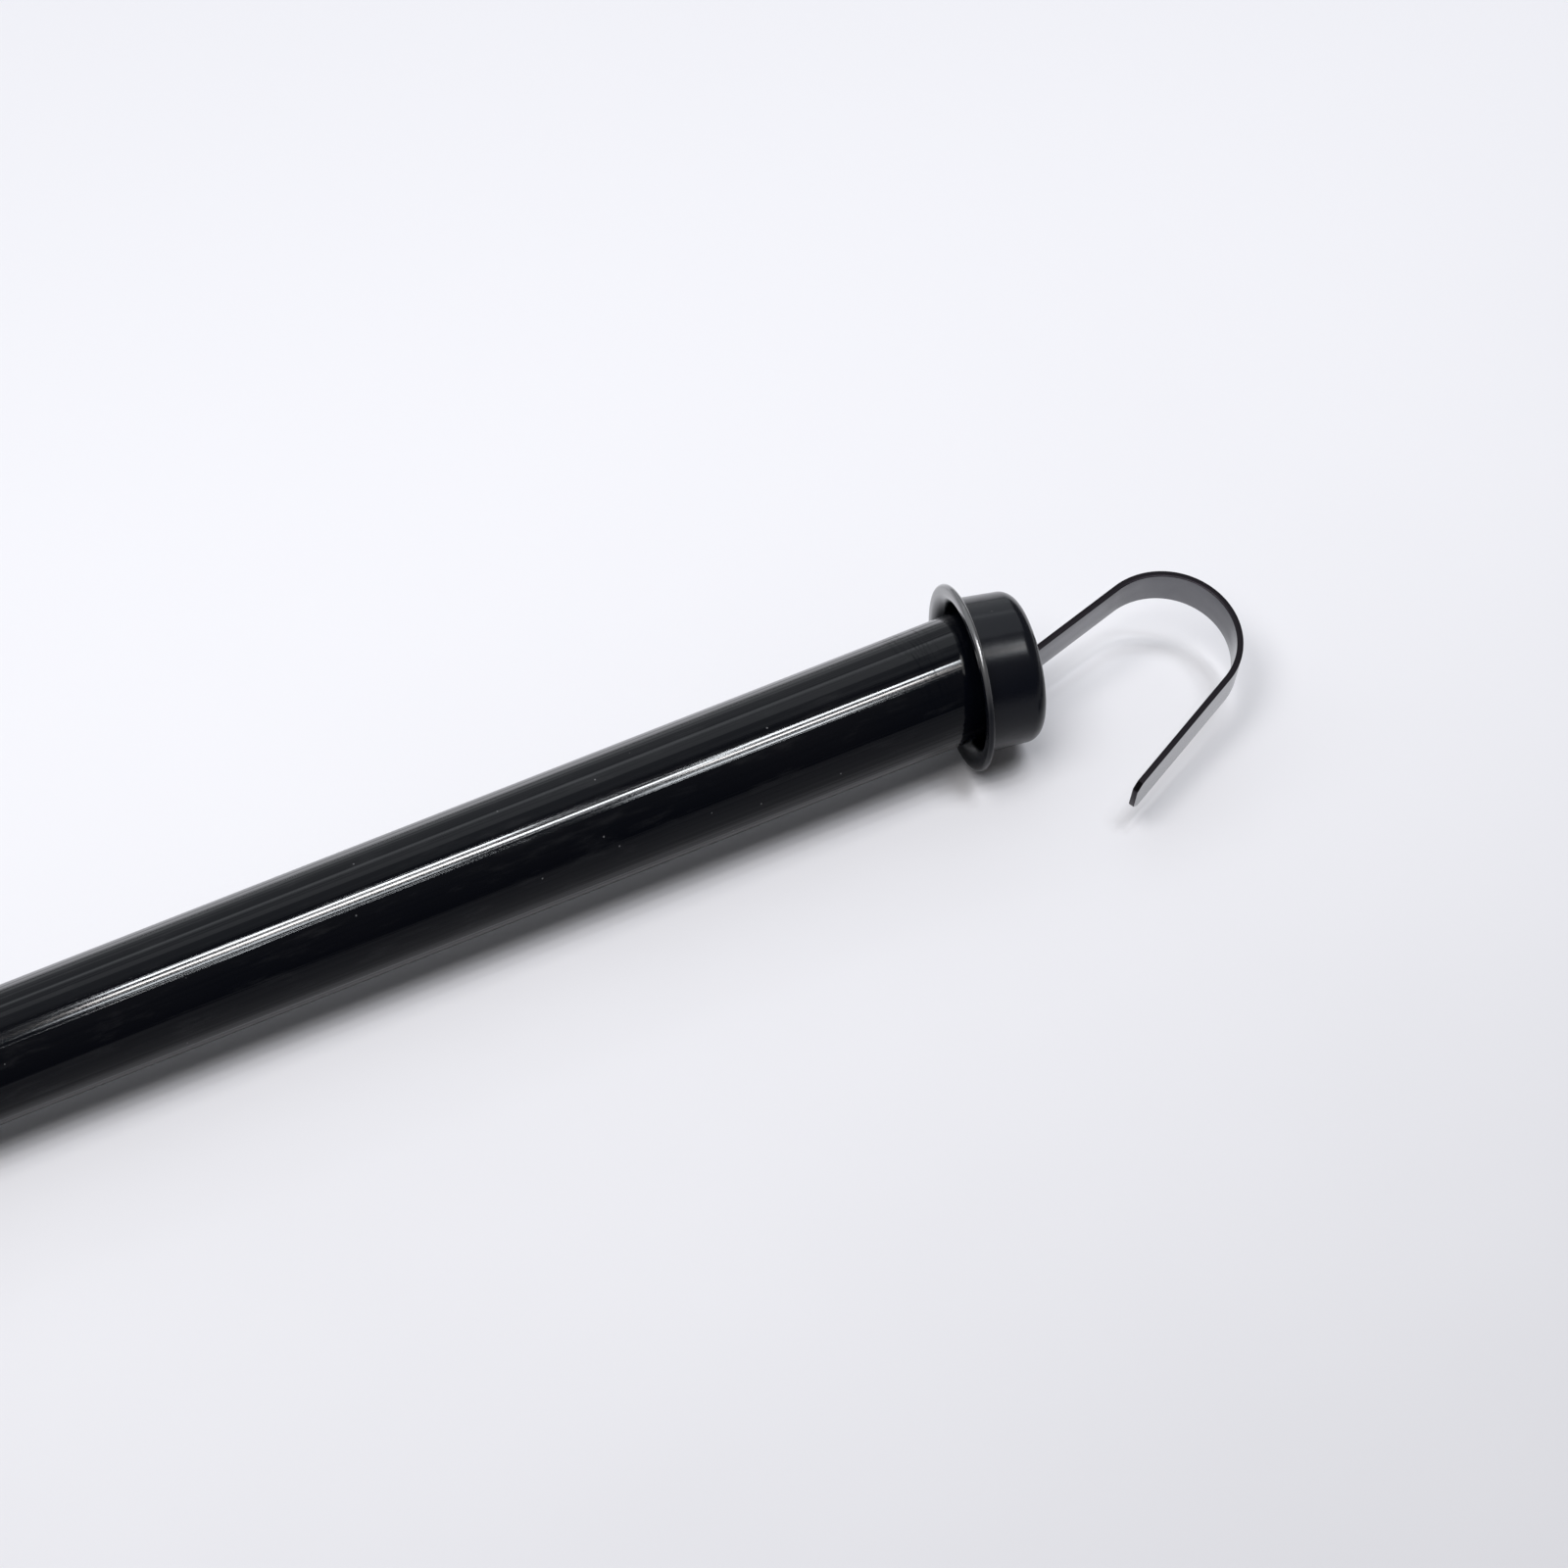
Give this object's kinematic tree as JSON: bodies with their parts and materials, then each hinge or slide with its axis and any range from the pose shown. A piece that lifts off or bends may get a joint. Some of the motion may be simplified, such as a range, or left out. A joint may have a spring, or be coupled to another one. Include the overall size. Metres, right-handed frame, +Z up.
{
  "type": "door security bar",
  "caption": "Telescopic door security bar: black tube with a flanged cup and flat steel hook at one end and a pivoting rubber foot at the other.",
  "frame": {"origin": "centre of the rubber sole's face, on the axis of the bar", "axes": "+X along the bar from the foot to the hook, +Z up as the bar lies on the foot's edge and the cup's brim, +Y to the side away from the hook's free leg"},
  "size_m": [0.8193, 0.0823, 0.048],
  "materials": {
    "gloss_black_paint": "gloss",
    "satin_black_paint": "satin",
    "black_oxide_steel": "satin",
    "plain_steel": "satin",
    "bright_steel": "bright zinc plate",
    "black_screw": "satin",
    "black_plastic": "fine grain",
    "white_plastic": "smooth",
    "black_cast_metal": "powder coated",
    "brass_sleeve": "turned",
    "black_rubber": "matt"
  },
  "bodies": {
    "bar": {"outer_tube": "gloss_black_paint", "end_plug": "plain_steel", "hook_strip": "black_oxide_steel", "shank_pins": "plain_steel", "plug_screw": "black_screw", "guide_collar": "black_plastic", "collar_screws": "black_screw"},
    "clip": {"retaining_clip": "plain_steel"},
    "cup": {"end_cup": "satin_black_paint"},
    "leg": {"inner_tube": "gloss_black_paint", "slide_bush": "white_plastic", "button_spring": "plain_steel", "foot_plug": "black_cast_metal", "foot_rivet": "bright_steel", "pivot_sleeve": "brass_sleeve", "thrust_washers": "white_plastic"},
    "button": {"snap_button": "bright_steel"},
    "foot": {"foot_bracket": "satin_black_paint", "foot_plate": "satin_black_paint", "bracket_rivets": "bright_steel", "rubber_sole": "black_rubber", "pivot_bolt": "bright_steel", "pivot_nut": "bright_steel", "pivot_washers": "bright_steel"}
  },
  "joints": [
    {"name": "leg_extend", "type": "slide", "parent": "bar", "child": "leg", "axis": [-1, 0, 0], "range_m": [0, 0.24]},
    {"name": "button_press", "type": "slide", "parent": "leg", "child": "button", "axis": [0, 0, 1], "range_m": [-0.0036, 0], "stiffness_N_per_m": 1200, "springref_m": 0.002, "deforming": ["button_spring"]},
    {"name": "foot_pivot", "type": "hinge", "parent": "leg", "child": "foot", "pos_m": [0.034, 0, 0], "axis": [0, 1, 0], "range_deg": [-45, 45]},
    {"name": "cup_slide", "type": "slide", "parent": "bar", "child": "clip", "axis": [0.9636, 0.2593, 0.0647], "range_m": [0, 0.005]},
    {"name": "cup_tilt", "type": "hinge", "parent": "clip", "child": "cup", "pos_m": [0.76485, -0.00355, -0.00089], "axis": [0, -0.2419, 0.9703], "range_deg": [-3, 2]}
  ]
}
